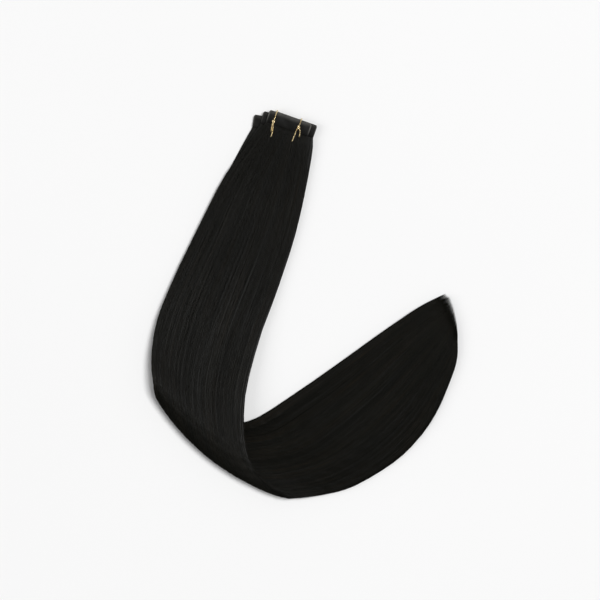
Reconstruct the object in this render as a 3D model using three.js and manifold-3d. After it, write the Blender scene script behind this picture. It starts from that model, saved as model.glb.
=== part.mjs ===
// A tied bundle of tape-in hair extensions, laid out flat on a table.
// Four panels of straight hair lie on each other. Each is bonded into its own folded strip of film tape,
// the tapes are fanned a little, and two gold cords tie them together. From the tapes the hair widens,
// rolls under itself along a soft diagonal fold and runs off to slanted tips.
// Millimetres, +Z up. The origin is on the table, under the centre of the footprint.

import * as THREE from "three";
import { mergeVertices } from "three/addons/utils/BufferGeometryUtils.js";
import Module from "manifold-3d";

const wasm = await Module();
wasm.setup();

// Film tape, folded over the hair roots
const TAPE_WIDTH = 40;
const TAPE_HEIGHT = 12;
const TAPE_CORNER = 2;
const FILM = 0.3;
const ROOT_THICKNESS = 0.4;
const ROOT_GAP = 0.2;
const TAPE_THICKNESS = ROOT_THICKNESS + 2 * (ROOT_GAP + FILM);

// Root strip, the head that each panel's locks are fused to
const ROOT_INSET = 1;
const ROOT_TOP = 1;
const ROOT_BELOW_TAPE = 2;

// Stack of layers
const LAYER_GAP = 0.3;
const LAYER_PITCH = TAPE_THICKNESS + LAYER_GAP;

// Tie cords
const TIE_DIAMETER = 1.1;
const TIE_GAP = 0.3;
const TIE_REST = 0.2;
const TIE_HOLE_DIAMETER = 2;
const TIE_HOLE_SIDES = 10;
const TIE_SIDES = 8;
const TIE_BEND = 0.9;
const TIE_SLACK = 0.3;
const LOOP_STEPS = 24;
const TAIL_STEPS = 4;
const KNOT_SCALE = 0.42;
const KNOT_RISE = 0.5;
const KNOT_CORE = 0.95;
const KNOT_CORE_SIDES = 10;
const KNOT_CORE_RINGS = 6;
const KNOT_ARCS = 3;
const ARC_REACH = 1.1;
const ARC_STEPS = 8;

// Hair
const HAIR_THICKNESS = TAPE_THICKNESS;
const LOCKS = 6;
const LOCK_VALLEY = 0.5;
const HAIR_REST = 0.17;

// Layers from front to back: the top left corner of the tape, its tilt in degrees, and the share of the
// hair's width that the panel covers.
const LAYERS = [
  { name: "front", cornerX: -31, cornerY: 174.5, tilt: -19, from: 0.002, to: 0.985 },
  { name: "second", cornerX: -26, cornerY: 173.5, tilt: -19.5, from: 0.006, to: 1 },
  { name: "third", cornerX: -36.5, cornerY: 173.5, tilt: -17, from: 0.008, to: 0.99 },
  { name: "back", cornerX: -45, cornerY: 170.5, tilt: -10, from: 0.008, to: 0.98 },
];

const STACK_HALF = ((LAYERS.length - 1) * LAYER_PITCH + TAPE_THICKNESS) / 2;
const STACK_Z = STACK_HALF + TIE_GAP + TIE_DIAMETER + TIE_REST;
const FLAT_Z = STACK_HALF + HAIR_REST;
const ROLL = 7;
const CREST = 2 * ROLL;

// Where the hair leaves a tape: how far below the tape, how far in from the tape's ends, how full the locks
// are, as a share of their whole thickness, and how many steps of the mesh lead up to it.
const ROOTS = [
  { below: 0.5, inset: 0, full: 0.5, steps: 0 },
  { below: 7, inset: -2.4, full: 0.75, steps: 2 },
];

// Sections of the hair from the tapes to the tips, halfway through its thickness. Each runs from the edge
// that is on the left under the tapes to the other edge. The lifts raise its two ends over the height of flat
// hair, and the bow is how far its middle stands out towards the fold. Locks are full where nothing is said.
const SECTIONS = [
  { name: "upper", left: [-70.5, 117], right: [2.5, 110], lift: [0, 0], bow: 0, full: 0.9, steps: 2 },
  { name: "middle", left: [-95, 70], right: [-8.5, 61], lift: [0, 0], bow: 0, steps: 2 },
  { name: "lower", left: [-118.5, 21], right: [-26, 8], lift: [1.4, 0.8], bow: 0, steps: 2 },
  { name: "rise", left: [-133, -17], right: [-41.5, -35], lift: [5.4, 4], bow: 0, steps: 2 },
  { name: "brow", left: [-137.5, -50], right: [-54, -92], lift: [11, 10.4], bow: 3, steps: 2 },
  { name: "crest", left: [-135, -71], right: [-47.5, -143.5], lift: [CREST, CREST], bow: 3, steps: 3 },
  { name: "crease", left: [-127, -89], right: [-16, -172], lift: [ROLL, ROLL], bow: 12, full: 0.7, steps: 4 },
  { name: "under", left: [-107.6, -100.8], right: [14, -171.6], lift: [1, 1.5], bow: 8.2, steps: 4 },
  { name: "turn", left: [-82, -106.8], right: [38.4, -166.3], lift: [0.2, 0.3], bow: 4.6, steps: 2 },
  { name: "run", left: [-51, -105.5], right: [61.6, -154.7], lift: [0, 0], bow: 2, steps: 2 },
  { name: "swell", left: [-13, -83.2], right: [89.5, -135], lift: [0, 0], bow: 0, steps: 2 },
  { name: "sweep", left: [27.5, -55.2], right: [113.5, -106.4], lift: [0, 0], bow: 0, steps: 1 },
  { name: "taper", left: [68, -26.3], right: [129.5, -73.5], lift: [0, 0], bow: 0, full: 0.95, steps: 1 },
  { name: "ends", left: [104, -2], right: [137.3, -49], lift: [0, 0], bow: 0, full: 0.75, steps: 1 },
  { name: "tips", left: [129.4, 10.8], right: [137.6, -28.6], lift: [0, 0], bow: -2, full: 0.15, steps: 2 },
];

// How far the end of each lock and of each groove stops short of the tips, as shares of the hair's line, from
// edge to edge, and where along it the locks begin to differ in length.
const TIP_SHORT = [0.012, 0, 0.014, 0.004, 0.016, 0, 0.012, 0.003, 0.014, 0.002, 0.012, 0, 0.01];
const TIPS_BEGIN = 0.8;

// Ties, in the front tape's own frame: the distance along its top edge, how far the hole is below that
// edge, the turn of the knot in degrees, and the points, along and below, that each tail passes.
const TIES = [
  {
    name: "tie_left",
    along: 6.6,
    below: 9.2,
    knotTurn: 25,
    tails: [
      [[7.6, 13.2], [8.6, 18], [8.9, 23]],
      [[6.3, 12.5], [7, 15.5], [7.4, 18.5]],
    ],
  },
  {
    name: "tie_right",
    along: 29.6,
    below: 6.8,
    knotTurn: -15,
    tails: [
      [[31.6, 9.2], [32.4, 12], [33, 15]],
      [[28.6, 9.6], [28.4, 14.5], [28, 20.8]],
    ],
  },
];

const COLOURS = {
  hair: new THREE.MeshStandardMaterial({ color: 0x1c1b19, roughness: 0.45, metalness: 0 }),
  tape: new THREE.MeshStandardMaterial({ color: 0x2b2a29, roughness: 0.35, metalness: 0 }),
  tie: new THREE.MeshStandardMaterial({ color: 0xd0aa55, roughness: 0.3, metalness: 1 }),
};

// Solids and meshes

// Points nearer to each other than this are one point.
const WELD = 1e-4;

function solidOf(geometry) {
  const bare = geometry.clone();
  bare.deleteAttribute("normal");
  bare.deleteAttribute("uv");
  const merged = mergeVertices(bare, WELD);
  return new wasm.Manifold(
    new wasm.Mesh({
      numProp: 3,
      vertProperties: new Float32Array(merged.attributes.position.array),
      triVerts: new Uint32Array(merged.index.array),
    }),
  );
}

function meshOf(name, solid, material) {
  const made = solid.getMesh();
  const geometry = new THREE.BufferGeometry();
  geometry.setAttribute("position", new THREE.BufferAttribute(made.vertProperties, made.numProp));
  geometry.setIndex(new THREE.BufferAttribute(made.triVerts, 1));
  const faceted = geometry.toNonIndexed();
  faceted.computeVertexNormals();
  const mesh = new THREE.Mesh(faceted, material);
  mesh.name = name;
  return mesh;
}

const FLAT_CUT = { bevelEnabled: false, curveSegments: 2 };
const CUT_MARGIN = 1;

// A plate with rounded corners: its top left corner at x 0, y 0, and its thickness centred on z 0.
function roundedPlate(width, height, corner, thickness) {
  const outline = new THREE.Shape();
  outline.moveTo(corner, 0);
  outline.absarc(corner, -corner, corner, Math.PI / 2, Math.PI, false);
  outline.absarc(corner, corner - height, corner, Math.PI, 1.5 * Math.PI, false);
  outline.absarc(width - corner, corner - height, corner, 1.5 * Math.PI, 2 * Math.PI, false);
  outline.absarc(width - corner, -corner, corner, 0, Math.PI / 2, false);
  const plate = new THREE.ExtrudeGeometry(outline, { ...FLAT_CUT, depth: thickness });
  return plate.translate(0, 0, -thickness / 2);
}

function cordAlong(points, steps, diameter) {
  const section = new THREE.Shape();
  section.absarc(0, 0, diameter / 2, 0, 2 * Math.PI, false);
  return new THREE.ExtrudeGeometry(section, {
    steps,
    curveSegments: TIE_SIDES / 2,
    extrudePath: new THREE.CatmullRomCurve3(points, false, "centripetal"),
  });
}

// Layers

function layerOffset(index) {
  return ((LAYERS.length - 1) / 2 - index) * LAYER_PITCH;
}

function tapeMatrix(layer, z) {
  const turned = new THREE.Matrix4().makeRotationZ(THREE.MathUtils.degToRad(layer.tilt));
  return turned.setPosition(layer.cornerX, layer.cornerY, z);
}

// A tape is a strip of film with a round fold along its top edge and a slot that is open below.
function tapeGeometry() {
  const outer = TAPE_THICKNESS / 2;
  const inner = outer - FILM;
  const hairpin = new THREE.Shape();
  hairpin.moveTo(-TAPE_HEIGHT - CUT_MARGIN, -outer);
  hairpin.lineTo(-outer, -outer);
  hairpin.absarc(-outer, 0, outer, -Math.PI / 2, Math.PI / 2, false);
  hairpin.lineTo(-TAPE_HEIGHT - CUT_MARGIN, outer);
  hairpin.lineTo(-TAPE_HEIGHT - CUT_MARGIN, inner);
  hairpin.lineTo(-outer, inner);
  hairpin.absarc(-outer, 0, inner, Math.PI / 2, -Math.PI / 2, true);
  hairpin.lineTo(-TAPE_HEIGHT - CUT_MARGIN, -inner);
  const strip = new THREE.ExtrudeGeometry(hairpin, { ...FLAT_CUT, depth: TAPE_WIDTH + 2 * CUT_MARGIN });
  const alongX = new THREE.Matrix4().makeBasis(
    new THREE.Vector3(0, 1, 0),
    new THREE.Vector3(0, 0, 1),
    new THREE.Vector3(1, 0, 0),
  );
  return strip.applyMatrix4(alongX).translate(-CUT_MARGIN, 0, 0);
}

function tapeSolid(layer, z) {
  const strip = solidOf(tapeGeometry().applyMatrix4(tapeMatrix(layer, z)));
  const outline = roundedPlate(TAPE_WIDTH, TAPE_HEIGHT, TAPE_CORNER, TAPE_THICKNESS + CUT_MARGIN);
  return strip.intersect(solidOf(outline.applyMatrix4(tapeMatrix(layer, z))));
}

function rootStripSolid(layer, z) {
  const width = TAPE_WIDTH - 2 * ROOT_INSET;
  const height = TAPE_HEIGHT + ROOT_BELOW_TAPE - ROOT_TOP;
  const strip = roundedPlate(width, height, ROOT_INSET, ROOT_THICKNESS);
  strip.translate(ROOT_INSET, -ROOT_TOP, 0);
  return solidOf(strip.applyMatrix4(tapeMatrix(layer, z)));
}

// Hair

function sectionPoint(section, share) {
  const [leftLift, rightLift] = section.lift;
  const left = new THREE.Vector3(...section.left, FLAT_Z + leftLift);
  const right = new THREE.Vector3(...section.right, FLAT_Z + rightLift);
  const across = right.clone().sub(left);
  const outward = new THREE.Vector3(across.y, -across.x, 0).normalize();
  const sag = section.bow * 4 * share * (1 - share);
  return left.addScaledVector(across, share).addScaledVector(outward, sag);
}

// One hair's line at a share of the panel's width: out of the tape, along the sections, to the tip.
function hairLine(layer, share) {
  const frame = tapeMatrix(layer, STACK_Z);
  const rootPoints = ROOTS.map(({ below, inset }) => {
    const along = THREE.MathUtils.lerp(inset, TAPE_WIDTH - inset, share);
    return new THREE.Vector3(along, -TAPE_HEIGHT - below, 0).applyMatrix4(frame);
  });
  const covered = THREE.MathUtils.lerp(layer.from, layer.to, share);
  const points = SECTIONS.map((section) => sectionPoint(section, covered));
  return new THREE.CatmullRomCurve3([...rootPoints, ...points], false, "centripetal");
}

// Places along a hair's line and the fullness there: the steps between each row of points and the next.
function stations() {
  const rows = [...ROOTS, ...SECTIONS];
  const last = rows.length - 1;
  const places = [{ at: 0, full: rows[0].full }];
  for (let row = 1; row <= last; row++) {
    const { full: before = 1 } = rows[row - 1];
    const { full = 1, steps } = rows[row];
    for (let i = 1; i <= steps; i++) {
      const share = i / steps;
      places.push({ at: (row - 1 + share) / last, full: THREE.MathUtils.lerp(before, full, share) });
    }
  }
  return places;
}

// How far to each side of a hair's line, as a share of the width, its neighbours are taken for the normal.
const NEIGHBOUR = 0.01;

// The panel's surface at each line across its width and each station along it: the point and the outward
// normal.
function panelSurface(layer, lines, places) {
  return lines.map((share, i) => {
    const line = hairLine(layer, share);
    const before = hairLine(layer, share - NEIGHBOUR);
    const after = hairLine(layer, share + NEIGHBOUR);
    return places.map((place) => {
      const at = place.at - TIP_SHORT[i] * THREE.MathUtils.smoothstep(place.at, TIPS_BEGIN, 1);
      const across = after.getPoint(at).sub(before.getPoint(at));
      const normal = line.getTangent(at).cross(across).normalize();
      return { point: line.getPoint(at), normal };
    });
  });
}

// A panel is a row of locks side by side, thick along their middles and thin in the grooves between them,
// fused into one sheet. The grooves of neighbouring panels are staggered.
function locksGeometry(layer, index) {
  const lines = Array.from({ length: 2 * LOCKS + 1 }, (_, i) => i / (2 * LOCKS));
  const places = stations();
  const surface = panelSurface(layer, lines, places);
  const offset = layerOffset(index);
  const last = lines.length - 1;
  const positions = [];
  const ring = 2 * last;
  places.forEach(({ full }, j) => {
    const half = (HAIR_THICKNESS / 2) * full;
    const push = (i, side) => {
      const { point, normal } = surface[i][j];
      const atEdge = i === 0 || i === last;
      const inLock = (i + index) % 2 === 1;
      const lift = atEdge ? 0 : side * half * (inLock ? 1 : LOCK_VALLEY);
      const placed = point.clone().addScaledVector(normal, offset + lift);
      positions.push(placed.x, placed.y, placed.z);
    };
    for (let i = 0; i <= last; i++) push(i, 1);
    for (let i = last - 1; i >= 1; i--) push(i, -1);
  });
  // Above and below, the diagonals follow the fold.
  const faces = [];
  for (let j = 0; j < places.length - 1; j++) {
    for (let i = 0; i < ring; i++) {
      const next = (i + 1) % ring;
      const a = j * ring + i;
      const b = j * ring + next;
      if (i < last) faces.push(a, a + ring, b + ring, a, b + ring, b);
      else faces.push(a, a + ring, b, b, a + ring, b + ring);
    }
  }
  const cap = (start, flip) => {
    for (let i = 0; i < last; i++) {
      const top = [start + i, start + i + 1];
      const under = [start + ((ring - i) % ring), start + ((ring - i - 1) % ring)];
      const corners = [top[0], top[1], under[1], under[0]];
      if (flip) corners.reverse();
      const [a, b, c, d] = corners;
      if (a !== d) faces.push(a, b, d);
      if (b !== c) faces.push(b, c, d);
    }
  };
  cap(0, false);
  cap((places.length - 1) * ring, true);
  const geometry = new THREE.BufferGeometry();
  geometry.setAttribute("position", new THREE.Float32BufferAttribute(positions, 3));
  return geometry.setIndex(faces);
}

// Ties

function tieFrame() {
  return tapeMatrix(LAYERS[0], 0);
}

function tieHole(tie) {
  const radius = TIE_HOLE_DIAMETER / 2;
  const hole = new THREE.CylinderGeometry(radius, radius, 2 * (STACK_HALF + CUT_MARGIN), TIE_HOLE_SIDES);
  hole.rotateX(Math.PI / 2).translate(tie.along, -tie.below, STACK_Z);
  return solidOf(hole.applyMatrix4(tieFrame()));
}

// The loop leaves the knot upward, goes over the tapes' top edges, down behind them and back through the
// hole.
function tieLoop(tie) {
  const clear = TIE_GAP + TIE_DIAMETER / 2;
  const front = STACK_Z + STACK_HALF + clear;
  const behind = STACK_Z - STACK_HALF - clear;
  const top = clear + TIE_SLACK;
  const middle = (top - tie.below) / 2;
  const at = (y, z) => new THREE.Vector3(tie.along, y, z);
  return [
    at(TIE_BEND - tie.below, front + KNOT_RISE),
    at(middle, front),
    at(top - TIE_BEND, front),
    at(top, front - TIE_BEND),
    at(top, behind + TIE_BEND),
    at(top - TIE_BEND, behind),
    at(middle, behind),
    at(TIE_BEND - tie.below, behind),
    at(-tie.below, behind + TIE_BEND),
    at(-tie.below, STACK_Z),
    at(-tie.below, front + KNOT_RISE),
  ];
}

// The knot is a trefoil of the same cord, lying flat on the front tape, pulled tight: three arcs that
// overlap, round a core where the turns of cord meet.
function knotCentre(tie) {
  const lying = STACK_Z + STACK_HALF + TIE_GAP + TIE_DIAMETER / 2;
  return new THREE.Vector3(tie.along, -tie.below, lying + KNOT_RISE);
}

function knotCore(tie) {
  const core = new THREE.SphereGeometry(KNOT_CORE, KNOT_CORE_SIDES, KNOT_CORE_RINGS);
  return core.translate(...knotCentre(tie));
}

function knotArcs(tie) {
  const turn = new THREE.Matrix4().makeRotationZ(THREE.MathUtils.degToRad(tie.knotTurn));
  turn.setPosition(knotCentre(tie));
  return Array.from({ length: KNOT_ARCS }, (_, arc) =>
    Array.from({ length: ARC_STEPS + 1 }, (_, i) => {
      const t = ((arc + (ARC_REACH * i) / ARC_STEPS) * 2 * Math.PI) / KNOT_ARCS;
      const x = KNOT_SCALE * (Math.sin(t) + 2 * Math.sin(2 * t));
      const y = KNOT_SCALE * (Math.cos(t) - 2 * Math.cos(2 * t));
      return new THREE.Vector3(x, y, -KNOT_RISE * Math.sin(3 * t)).applyMatrix4(turn);
    }),
  );
}

function tailPoints(tie, tail) {
  const start = knotCentre(tie);
  const lying = start.z - KNOT_RISE;
  return [start, ...tail.map(([along, below]) => new THREE.Vector3(along, -below, lying))];
}

function tieSolid(tie) {
  const cords = [
    knotCore(tie),
    cordAlong(tieLoop(tie), LOOP_STEPS, TIE_DIAMETER),
    ...knotArcs(tie).map((points) => cordAlong(points, ARC_STEPS, TIE_DIAMETER)),
    ...tie.tails.map((tail) => cordAlong(tailPoints(tie, tail), TAIL_STEPS, TIE_DIAMETER)),
  ];
  const solids = cords.map((cord) => solidOf(cord.applyMatrix4(tieFrame())));
  return solids.reduce((joined, solid) => joined.add(solid));
}

// Assembly

const bundle = new THREE.Group();
const holes = TIES.map(tieHole);

LAYERS.forEach((layer, index) => {
  const z = STACK_Z + layerOffset(index);
  const pierced = (solid) => holes.reduce((left, hole) => left.subtract(hole), solid);
  const locks = solidOf(locksGeometry(layer, index));
  bundle.add(meshOf("tape_" + layer.name, pierced(tapeSolid(layer, z)), COLOURS.tape));
  bundle.add(meshOf("hair_" + layer.name, pierced(rootStripSolid(layer, z).add(locks)), COLOURS.hair));
});
for (const tie of TIES) bundle.add(meshOf(tie.name, tieSolid(tie), COLOURS.tie));

export default bundle;
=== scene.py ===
"""The looks of a tied bundle of taped hair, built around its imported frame.

Four panels of straight hair lie on each other, each bonded into a folded strip of film tape. The tapes
are fanned a little and tied together with two twisted gold cords. From the tapes the hair widens, rolls
under itself along a diagonal fold and runs off to slanted tips. Everything is in metres, in the frame's
own axes.
"""

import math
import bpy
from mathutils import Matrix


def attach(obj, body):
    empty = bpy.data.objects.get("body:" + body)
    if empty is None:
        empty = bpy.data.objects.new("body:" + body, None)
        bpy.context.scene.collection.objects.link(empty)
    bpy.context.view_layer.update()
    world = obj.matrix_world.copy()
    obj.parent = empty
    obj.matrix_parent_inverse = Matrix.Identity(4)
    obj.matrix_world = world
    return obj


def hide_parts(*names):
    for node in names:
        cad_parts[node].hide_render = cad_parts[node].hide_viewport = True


bl_info = {
    "name": "Taped Hair Bundle",
    "version": (1, 0, 0),
    "blender": (4, 5, 0),
    "location": "View3D > Sidebar > Hair Bundle",
    "description": "Makes the hair, film tapes and gold ties of a hair bundle around its frame",
    "category": "Object",
}

import bpy
import numpy as np
from bpy.props import FloatProperty, FloatVectorProperty, IntProperty, PointerProperty
from bpy.types import Operator, Panel, PropertyGroup
from mathutils import Vector

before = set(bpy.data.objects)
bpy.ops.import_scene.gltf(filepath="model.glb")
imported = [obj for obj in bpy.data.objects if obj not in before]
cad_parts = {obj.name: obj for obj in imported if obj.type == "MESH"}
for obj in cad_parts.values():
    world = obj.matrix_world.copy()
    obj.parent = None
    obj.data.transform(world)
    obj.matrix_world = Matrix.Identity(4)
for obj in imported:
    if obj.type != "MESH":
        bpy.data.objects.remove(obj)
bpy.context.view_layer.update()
BODY = "root"

# Film tape and the stack of layers
TAPE_WIDTH = 0.040
TAPE_HEIGHT = 0.012
TAPE_CORNER = 0.002
TAPE_THICKNESS = 0.0014
FILM = 0.0003
LAYER_PITCH = 0.0017

# Layers from front to back: where the tape's top left corner is, its tilt in degrees, the part of the
# hair's width that the panel spans, which of its faces shows (1 the front, -1 the back, 0 neither) and how
# pale the tape's rim is, which is clear film with no hair in it and partly a painted highlight.
LAYERS = (
    {"name": "front", "at": (-0.031, 0.1745), "tilt": -19.0, "span": (0.002, 0.985), "face": 1, "rim": 1.0},
    {"name": "second", "at": (-0.026, 0.1735), "tilt": -19.5, "span": (0.006, 1.0), "face": 0, "rim": 0.4},
    {"name": "third", "at": (-0.0365, 0.1735), "tilt": -17.0, "span": (0.008, 0.99), "face": 0, "rim": 0.4},
    {"name": "back", "at": (-0.045, 0.1705), "tilt": -10.0, "span": (0.008, 0.98), "face": -1, "rim": 0.4},
)

# Heights: the tapes lie on the cords behind them, flat hair lies just over the table, and the fold rolls
# round a radius up to its crest
STACK_REST = 0.0016
HAIR_REST = 0.00017
STACK_HALF = ((len(LAYERS) - 1) * LAYER_PITCH + TAPE_THICKNESS) / 2
STACK_Z = STACK_HALF + STACK_REST
FLAT_Z = STACK_HALF + HAIR_REST
ROLL = 0.0070
CREST = 2 * ROLL

# Sections of the hair from the tapes to the tips, halfway through its thickness, each from edge to edge.
# Some have lifts, which raise their two ends over the height of flat hair, and a bow, which is how far
# their middle stands out towards the fold.
SECTIONS = (
    {"left": (-0.0705, 0.1170), "right": (0.0025, 0.1100)},
    {"left": (-0.0950, 0.0700), "right": (-0.0085, 0.0610)},
    {"left": (-0.1185, 0.0210), "right": (-0.0260, 0.0080), "lift": (0.0014, 0.0008)},
    {"left": (-0.1330, -0.0170), "right": (-0.0415, -0.0350), "lift": (0.0054, 0.0040)},
    {"left": (-0.1375, -0.0500), "right": (-0.0540, -0.0920), "lift": (0.0110, 0.0104), "bow": 0.0030},
    {"left": (-0.1350, -0.0710), "right": (-0.0475, -0.1435), "lift": (CREST, CREST), "bow": 0.0030},
    {"left": (-0.1270, -0.0890), "right": (-0.0160, -0.1720), "lift": (ROLL, ROLL), "bow": 0.0120},
    {"left": (-0.1076, -0.1008), "right": (0.0140, -0.1716), "lift": (0.0010, 0.0015), "bow": 0.0082},
    {"left": (-0.0820, -0.1068), "right": (0.0384, -0.1663), "lift": (0.0002, 0.0003), "bow": 0.0046},
    {"left": (-0.0510, -0.1055), "right": (0.0616, -0.1547), "bow": 0.0020},
    {"left": (-0.0130, -0.0832), "right": (0.0895, -0.1350)},
    {"left": (0.0275, -0.0552), "right": (0.1135, -0.1064)},
    {"left": (0.0680, -0.0263), "right": (0.1295, -0.0735)},
    {"left": (0.1040, -0.0020), "right": (0.1373, -0.0490)},
    {"left": (0.1294, 0.0108), "right": (0.1376, -0.0286), "bow": -0.0020},
)

# Where the hair leaves a tape: how far below the tape, and how far in from the tape's ends. The first row
# is inside the tape's slot.
ROOTS = (
    {"below": -0.0060, "inset": 0.0010},
    {"below": 0.0005, "inset": 0.0},
    {"below": 0.0070, "inset": -0.0024},
)

# Fullness of a panel along the hair, as a share of its full thickness
FULLNESS_AT = (0.0, 0.0085, 0.0105, 0.018, 0.030, 0.08, 0.44, 0.54, 0.64, 0.80, 0.94, 1.0)
FULLNESS = (0.25, 0.36, 0.66, 0.74, 0.82, 1.0, 1.0, 0.8, 1.0, 1.0, 0.75, 0.30)

# Width of the strands along the hair, as a share of their full width
SPREAD_AT = (0.0, 0.02, 0.10, 0.20, 0.30)
SPREAD = (0.50, 0.50, 0.80, 0.94, 1.0)

# Ties, in the front tape's own frame: the distance along its top edge, how far the hole is below that
# edge, the turn of the knot in degrees, and the points, along and below, that each tail passes.
TIES = (
    {
        "name": "left",
        "along": 0.0066,
        "below": 0.0092,
        "turn": 25.0,
        "tails": (
            ((0.0076, 0.0132), (0.0086, 0.0180), (0.0089, 0.0230)),
            ((0.0063, 0.0125), (0.0070, 0.0155), (0.0074, 0.0185)),
        ),
    },
    {
        "name": "right",
        "along": 0.0296,
        "below": 0.0068,
        "turn": -15.0,
        "tails": (
            ((0.0316, 0.0092), (0.0324, 0.0120), (0.0330, 0.0150)),
            ((0.0286, 0.0096), (0.0284, 0.0145), (0.0280, 0.0208)),
        ),
    },
)
TIE_GAP = 0.0003
TIE_SLACK = 0.0003
TIE_BEND = 0.0009
KNOT_SCALE = 0.00042
KNOT_RISE = 0.0005
KNOT_POINTS = 40

# Camera: straight above the bundle
FRAME_WIDTH = 0.540
FRAME_CENTRE = (-0.00405, 0.0036)
SENSOR_WIDTH = 36.0


# Settings

COLOUR = {"subtype": "COLOR", "min": 0.0, "max": 1.0}
SMALL_LENGTH = {"unit": "LENGTH", "precision": 5}


class HairSettings(PropertyGroup):
    """Sizes and colours of the hair."""

    locks: IntProperty(name="Locks", description="Locks side by side in a panel", default=25, min=4)
    strands: IntProperty(
        name="Strands", description="Strands on each lock of the two outer panels", default=24, min=3
    )
    inner_strands: IntProperty(
        name="Inner strands",
        description="Strands on each lock of the panels between them",
        default=11,
        min=3,
    )
    strand_radius: FloatProperty(
        name="Strand radius", description="Half the width of a strand", default=0.00017, **SMALL_LENGTH
    )
    wander: FloatProperty(
        name="Wander",
        description="How far a lock drifts sideways along its length, as a share of the panel's width",
        default=0.007,
    )
    tip_hairs: IntProperty(
        name="Tip hairs", description="Fine short hairs that soften the tips of each panel", default=560
    )
    flyaways: IntProperty(
        name="Loose hairs", description="Single hairs that stand off each panel's edges", default=12
    )
    dark: FloatVectorProperty(
        name="Dark colour",
        description="Colour of the deepest strands",
        default=(0.0022, 0.0023, 0.0017),
        **COLOUR,
    )
    light: FloatVectorProperty(
        name="Light colour",
        description="Colour of the lightest strands",
        default=(0.0068, 0.0068, 0.0049),
        **COLOUR,
    )
    warm: FloatVectorProperty(
        name="Warm colour",
        description="Brown that shows here and there in the lighter strands",
        default=(0.0182, 0.0124, 0.0068),
        **COLOUR,
    )
    roughness: FloatProperty(
        name="Roughness",
        description="Mean roughness of the strands",
        subtype="FACTOR",
        default=0.42,
        min=0.0,
        max=1.0,
    )


class TapeSettings(PropertyGroup):
    """Sizes and colours of the film tapes."""

    film: FloatVectorProperty(
        name="Film colour",
        description="Colour of the film over the hair roots",
        default=(0.0036, 0.0034, 0.0028),
        **COLOUR,
    )
    # The rim colour is partly a painted highlight on the film's folded edge and ends, besides clear film
    # with no hair
    rim: FloatVectorProperty(
        name="Rim colour",
        description="Colour of the film's folded edge, where there is no hair behind it",
        default=(0.072, 0.070, 0.065),
        **COLOUR,
    )
    ripple: FloatProperty(
        name="Ripple", description="How far the film stands off flat", default=0.00008, **SMALL_LENGTH
    )


class TieSettings(PropertyGroup):
    """Sizes and colours of the gold ties."""

    diameter: FloatProperty(
        name="Cord diameter",
        description="Diameter over the cord's twisted plies",
        default=0.0011,
        **SMALL_LENGTH,
    )
    plies: IntProperty(name="Plies", description="Plies twisted into a cord", default=3, min=2)
    twist: FloatProperty(
        name="Twist length",
        description="Length of cord for one turn of its plies",
        default=0.0030,
        **SMALL_LENGTH,
    )
    gold: FloatVectorProperty(
        name="Gold", description="Colour of the cord's metal thread", default=(1.0, 0.83, 0.50), **COLOUR
    )


class StageSettings(PropertyGroup):
    """The floor, the light and the camera."""

    floor: FloatVectorProperty(
        name="Floor colour", description="Colour of the pale floor", default=(0.86, 0.86, 0.86), **COLOUR
    )
    camera_height: FloatProperty(
        name="Camera height",
        description="Height of the camera over the floor",
        default=2.6,
        unit="LENGTH",
    )
    key_power: FloatProperty(
        name="Key light", description="Power of the large soft light", default=785.0, unit="POWER"
    )
    surround: FloatProperty(
        name="Surround", description="Strength of the even light from all round", default=0.20
    )


# Numbers

SPLINE_STEPS = 24
TINY = 1e-12


def smooth(values, low, high):
    """0 up to low, 1 from high on, and a smooth step between them."""
    t = np.clip((values - low) / (high - low), 0.0, 1.0)
    return t * t * (3.0 - 2.0 * t)


def unit(vectors):
    """Vectors scaled to a length of one."""
    return vectors / np.maximum(np.linalg.norm(vectors, axis=-1, keepdims=True), TINY)


def spline_lines(rows, count):
    """Centripetal splines through rows of points (rows, lines, 3), as count points evenly along each."""
    ends = (2 * rows[:1] - rows[1:2], rows, 2 * rows[-1:] - rows[-2:-1])
    p = np.concatenate(ends)
    step = np.maximum(np.linalg.norm(np.diff(p, axis=0), axis=-1, keepdims=True), TINY) ** 0.5
    p0, p1, p2, p3 = p[:-3], p[1:-2], p[2:-1], p[3:]
    d0, d1, d2 = step[:-2], step[1:-1], step[2:]
    leave = ((p1 - p0) / d0 - (p2 - p0) / (d0 + d1) + (p2 - p1) / d1) * d1
    arrive = ((p2 - p1) / d1 - (p3 - p1) / (d1 + d2) + (p3 - p2) / d2) * d1
    t = np.linspace(0.0, 1.0, SPLINE_STEPS, endpoint=False).reshape(-1, 1, 1, 1)
    bend = 3 * (p2 - p1) - 2 * leave - arrive
    curl = 2 * (p1 - p2) + leave + arrive
    fine = p1 + t * (leave + t * (bend + t * curl))
    fine = np.swapaxes(fine, 0, 1).reshape(-1, rows.shape[1], 3)
    fine = np.concatenate([fine, rows[-1:]])
    steps = np.linalg.norm(np.diff(fine, axis=0), axis=-1)
    length = np.concatenate([np.zeros((1, rows.shape[1])), np.cumsum(steps, axis=0)])
    share = np.linspace(0.0, 1.0, count)
    lines = np.empty((rows.shape[1], count, 3))
    for i in range(rows.shape[1]):
        for axis in range(3):
            lines[i, :, axis] = np.interp(share * length[-1, i], length[:, i], fine[:, i, axis])
    return lines


def in_tape(layer, along, below, height):
    """Points given along a tape's top edge and below it, at a height over the table."""
    turn = math.radians(layer["tilt"])
    along, below, height = np.broadcast_arrays(along, below, height)
    x = layer["at"][0] + along * math.cos(turn) + below * math.sin(turn)
    y = layer["at"][1] + along * math.sin(turn) - below * math.cos(turn)
    return np.stack([x, y, height], axis=-1)


def layer_offset(index):
    """How far a layer lies in front of the middle of the stack."""
    return ((len(LAYERS) - 1) / 2 - index) * LAYER_PITCH


# Meshes


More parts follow.
